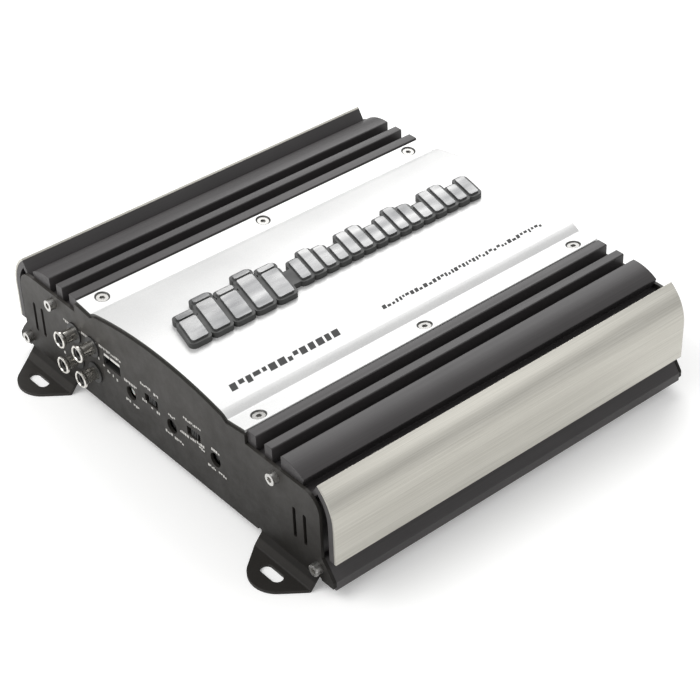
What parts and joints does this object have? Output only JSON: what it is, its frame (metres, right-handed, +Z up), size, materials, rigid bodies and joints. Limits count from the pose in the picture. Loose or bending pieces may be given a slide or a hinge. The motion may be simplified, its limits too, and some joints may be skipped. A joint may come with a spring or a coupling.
{
  "type": "car amplifier",
  "caption": "Flat car audio amplifier: black finned heatsink body with silver arched cover and side trims, input panel, power panel and slotted mounting feet.",
  "frame": {"origin": "on the surface that the feet stand on, under the middle of the body", "axes": "+X to the right as seen from the control panel, +Y from the control panel to the power panel, +Z up"},
  "size_m": [0.2316, 0.244, 0.0644],
  "materials": {
    "black_anodised": "black anodised, satin",
    "brushed_aluminium": "aluminium brushed along its length",
    "silver_cover": "fine silver paint, satin",
    "black_satin_steel": "black powder coat, satin",
    "badge_carrier": "dark grey, satin",
    "badge_chrome": "satin chrome plate",
    "zinc_screws": "bright zinc plate",
    "nickel": "nickel plate",
    "gold_brass": "plated brass",
    "black_plastic": "moulded, fine texture",
    "white_nylon": "moulded nylon",
    "circuit_board": "green solder mask",
    "clear_fuse_plastic": "translucent moulding",
    "green_lens": "tinted lens",
    "red_lens": "tinted lens",
    "ferrite": "dull ferrite",
    "copper_wire": "enamelled copper",
    "capacitor_sleeve": "shrink sleeve",
    "insulator_sheet": "thin insulating sheet"
  },
  "bodies": {
    "casing": {"badge_bars": "badge_chrome", "badge_base": "badge_carrier", "bass_switch_body": "zinc_screws", "board_screws": "zinc_screws", "board_standoffs": "gold_brass", "bottom_plate": "black_satin_steel", "bottom_plate_screws": "zinc_screws", "choke_core": "ferrite", "choke_winding": "copper_wire", "clamp_bars": "zinc_screws", "clamp_screws": "zinc_screws", "control_board": "circuit_board", "crossover_switch_body": "zinc_screws", "front_end_plate": "black_satin_steel", "front_plate_screws": "zinc_screws", "fuse_clips": "nickel", "fuse_holder": "black_plastic", "heatsink_extrusion": "black_anodised", "high_level_pins": "nickel", "high_level_socket": "white_nylon", "high_pass_pot_body": "black_plastic", "input_capacitors": "capacitor_sleeve", "insulator_pads": "insulator_sheet", "jack_contacts": "nickel", "jack_housing": "black_plastic", "jack_insulators": "black_plastic", "jack_screw": "zinc_screws", "jack_shells": "nickel", "left_wing_trim": "brushed_aluminium", "level_pot_body": "black_plastic", "low_pass_pot_body": "black_plastic", "main_board": "circuit_board", "output_capacitors": "capacitor_sleeve", "power_lamp": "green_lens", "power_terminal_block": "black_plastic", "power_terminal_clamps": "gold_brass", "power_terminal_screws": "zinc_screws", "power_transistors": "black_plastic", "protection_lamp": "red_lens", "rear_end_plate": "black_satin_steel", "rear_plate_screws": "zinc_screws", "right_wing_trim": "brushed_aluminium", "signal_chips": "black_plastic", "speaker_terminal_block": "black_plastic", "speaker_terminal_clamps": "gold_brass", "speaker_terminal_screws": "zinc_screws", "top_cover": "silver_cover", "top_cover_screws": "zinc_screws", "transformer_core": "ferrite", "transformer_winding": "copper_wire"},
    "level_spindle": {"level_pot_spindle": "white_nylon"},
    "low_pass_spindle": {"low_pass_pot_spindle": "black_plastic"},
    "high_pass_spindle": {"high_pass_pot_spindle": "black_plastic"},
    "bass_slider": {"bass_switch_slider": "black_plastic"},
    "crossover_slider": {"crossover_switch_slider": "black_plastic"},
    "left_fuse": {"left_fuse_body": "clear_fuse_plastic", "left_fuse_blades": "nickel"},
    "right_fuse": {"right_fuse_body": "clear_fuse_plastic", "right_fuse_blades": "nickel"}
  },
  "joints": [
    {"name": "level_turn", "type": "hinge", "parent": "casing", "child": "level_spindle", "pos_m": [-0.0218, -0.1028, 0.0265], "axis": [0, 1, 0], "range_deg": [-150, 150]},
    {"name": "low_pass_turn", "type": "hinge", "parent": "casing", "child": "low_pass_spindle", "pos_m": [0.0084, -0.1028, 0.026], "axis": [0, 1, 0], "range_deg": [-150, 150]},
    {"name": "high_pass_turn", "type": "hinge", "parent": "casing", "child": "high_pass_spindle", "pos_m": [0.0395, -0.1028, 0.0265], "axis": [0, 1, 0], "range_deg": [-150, 150]},
    {"name": "bass_slide", "type": "slide", "parent": "casing", "child": "bass_slider", "axis": [1, 0, 0], "range_m": [-0.002, 0.002]},
    {"name": "crossover_slide", "type": "slide", "parent": "casing", "child": "crossover_slider", "axis": [1, 0, 0], "range_m": [-0.002, 0.002]},
    {"name": "left_fuse_pull", "type": "slide", "parent": "casing", "child": "left_fuse", "axis": [0, 1, 0], "range_m": [0, 0.014]},
    {"name": "right_fuse_pull", "type": "slide", "parent": "casing", "child": "right_fuse", "axis": [0, 1, 0], "range_m": [0, 0.014]}
  ]
}
